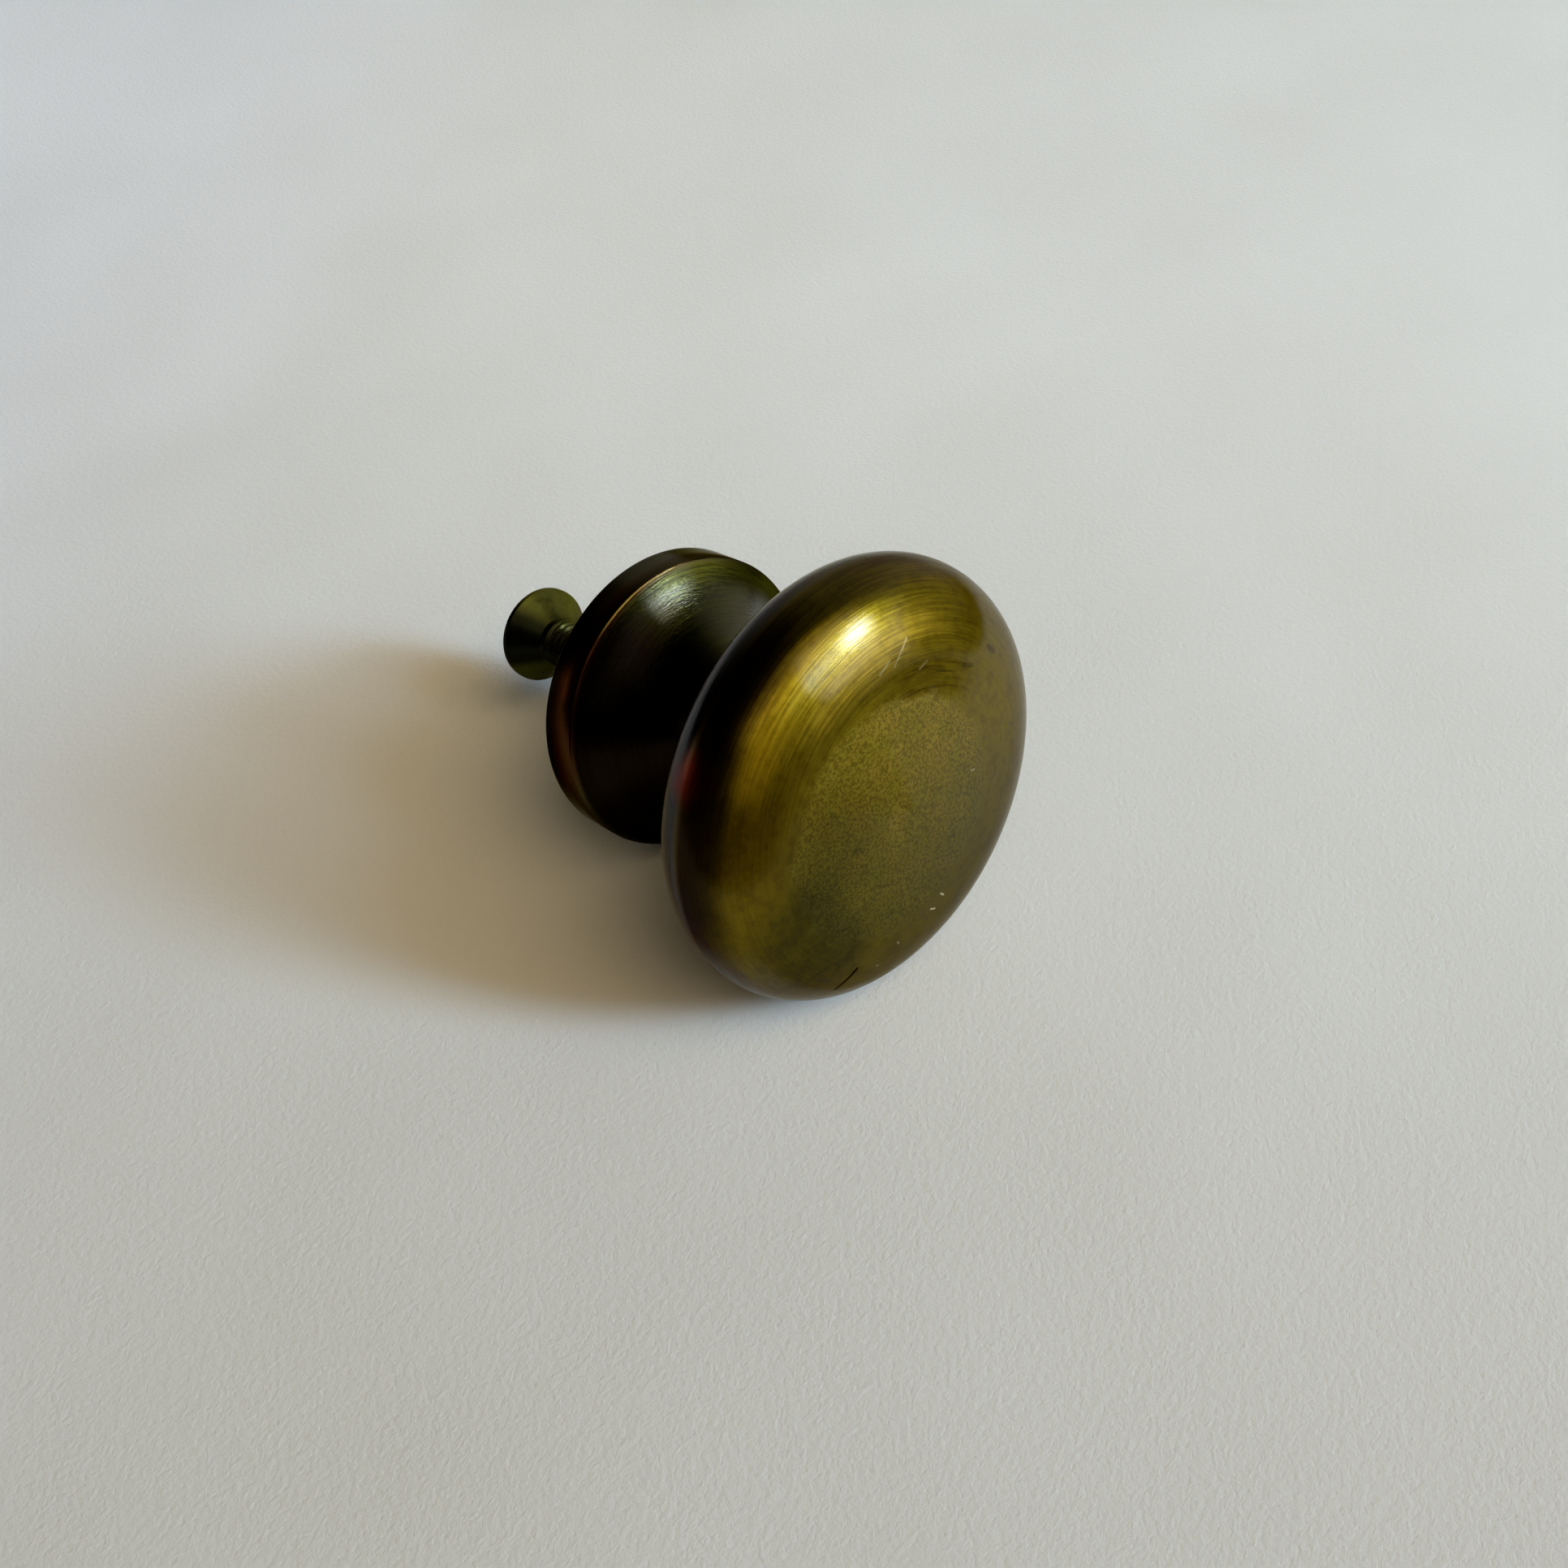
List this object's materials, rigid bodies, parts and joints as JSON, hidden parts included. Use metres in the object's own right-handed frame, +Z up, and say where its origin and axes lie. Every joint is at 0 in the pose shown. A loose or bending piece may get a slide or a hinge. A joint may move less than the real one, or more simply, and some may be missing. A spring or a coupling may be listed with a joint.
{
  "type": "cabinet knob",
  "caption": "Round turned brass cabinet knob with a mushroom head, coved neck and flat base, fixed from behind by a countersunk machine screw.",
  "frame": {"origin": "centre of the flat back face of the base, where the knob meets the panel", "axes": "+Y along the axis, out of the back face towards the screw's head; -Y towards the face that is pulled; +Z up"},
  "size_m": [0.032, 0.0421, 0.032],
  "materials": {
    "aged_brass": "antique brown-olive patina, satin, rubbed golden on the shoulder",
    "screw_brass": "antique olive-green patina, dull"
  },
  "bodies": {
    "root": {"knob": "aged_brass", "fixing_screw": "screw_brass"}
  },
  "joints": []
}
